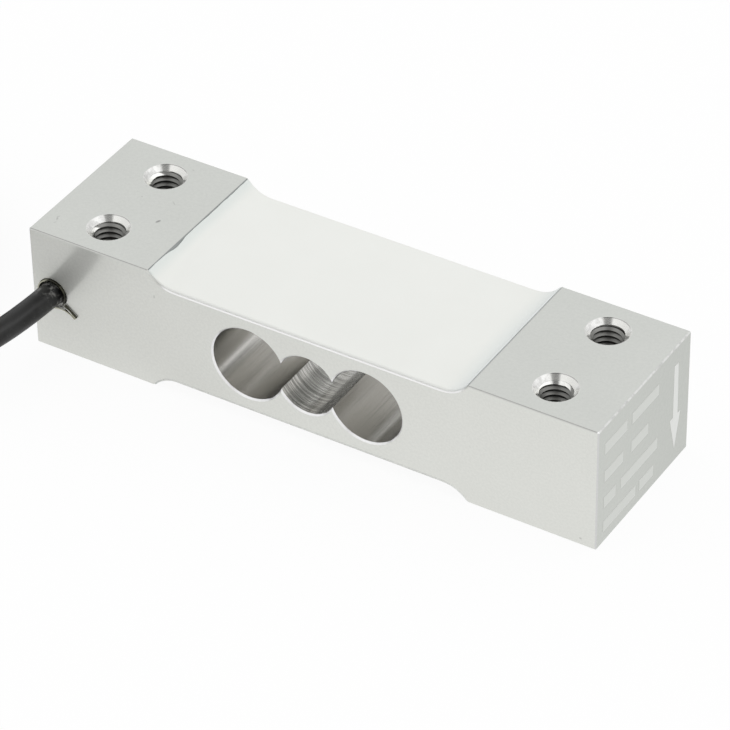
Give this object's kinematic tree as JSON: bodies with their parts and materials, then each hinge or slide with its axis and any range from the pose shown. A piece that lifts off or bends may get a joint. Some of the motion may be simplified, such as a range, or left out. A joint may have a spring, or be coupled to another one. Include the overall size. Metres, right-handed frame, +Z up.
{
  "type": "single point load cell",
  "caption": "Aluminium beam load cell with a three-bore flexure window, shallow gauge recesses under white silicone, tapped mounting ends and a black cable.",
  "frame": {"origin": "middle of the block's underside, which is the mounting face of the fixed end", "axes": "+X along the beam from the fixed end, with the cable, to the load end; +Y across it, away from the side that the cable leaves; +Z up, against the load"},
  "size_m": [0.256, 0.0845, 0.033],
  "materials": {
    "beam_body": "satin milled, clear anodised",
    "sealant": "white silicone, soft sheen",
    "gauge_film": "polyimide film",
    "gauge_foil": "etched foil",
    "board": "solder mask",
    "pads": "tinned copper",
    "resistor": "film",
    "enamelled_wire": "enamelled copper",
    "red_insulation": "insulation",
    "white_insulation": "insulation",
    "green_insulation": "insulation",
    "black_insulation": "insulation",
    "tinned_wire": "tinned copper",
    "cable_potting": "potting compound",
    "cable_clip": "bare strip",
    "cable_jacket": "matt extruded jacket"
  },
  "bodies": {
    "root": {"beam_body": "beam_body", "top_sealant": "sealant", "bottom_sealant": "sealant", "gauge_backing_top_fixed": "gauge_film", "gauge_backing_top_load": "gauge_film", "gauge_backing_bottom_fixed": "gauge_film", "gauge_backing_bottom_load": "gauge_film", "gauge_grid_top_fixed": "gauge_foil", "gauge_grid_top_load": "gauge_foil", "gauge_grid_bottom_fixed": "gauge_foil", "gauge_grid_bottom_load": "gauge_foil", "terminal_board_top": "board", "terminal_board_bottom": "board", "solder_pads_top": "pads", "solder_pads_bottom": "pads", "span_resistor_plus": "resistor", "span_resistor_minus": "resistor", "zero_trim_resistor": "resistor", "jumper_wires_top": "enamelled_wire", "jumper_wires_bottom": "enamelled_wire", "bridge_wires": "enamelled_wire", "conductor_red": "red_insulation", "conductor_white": "white_insulation", "conductor_green": "green_insulation", "conductor_black": "black_insulation", "drain_wire": "tinned_wire", "cable_potting": "cable_potting", "cable_clip": "cable_clip", "cable_jacket": "cable_jacket", "cable_coil": "cable_jacket", "end_lead_red": "red_insulation", "end_lead_white": "white_insulation", "end_lead_green": "green_insulation", "end_lead_black": "black_insulation", "end_lead_drain": "tinned_wire"}
  },
  "joints": []
}
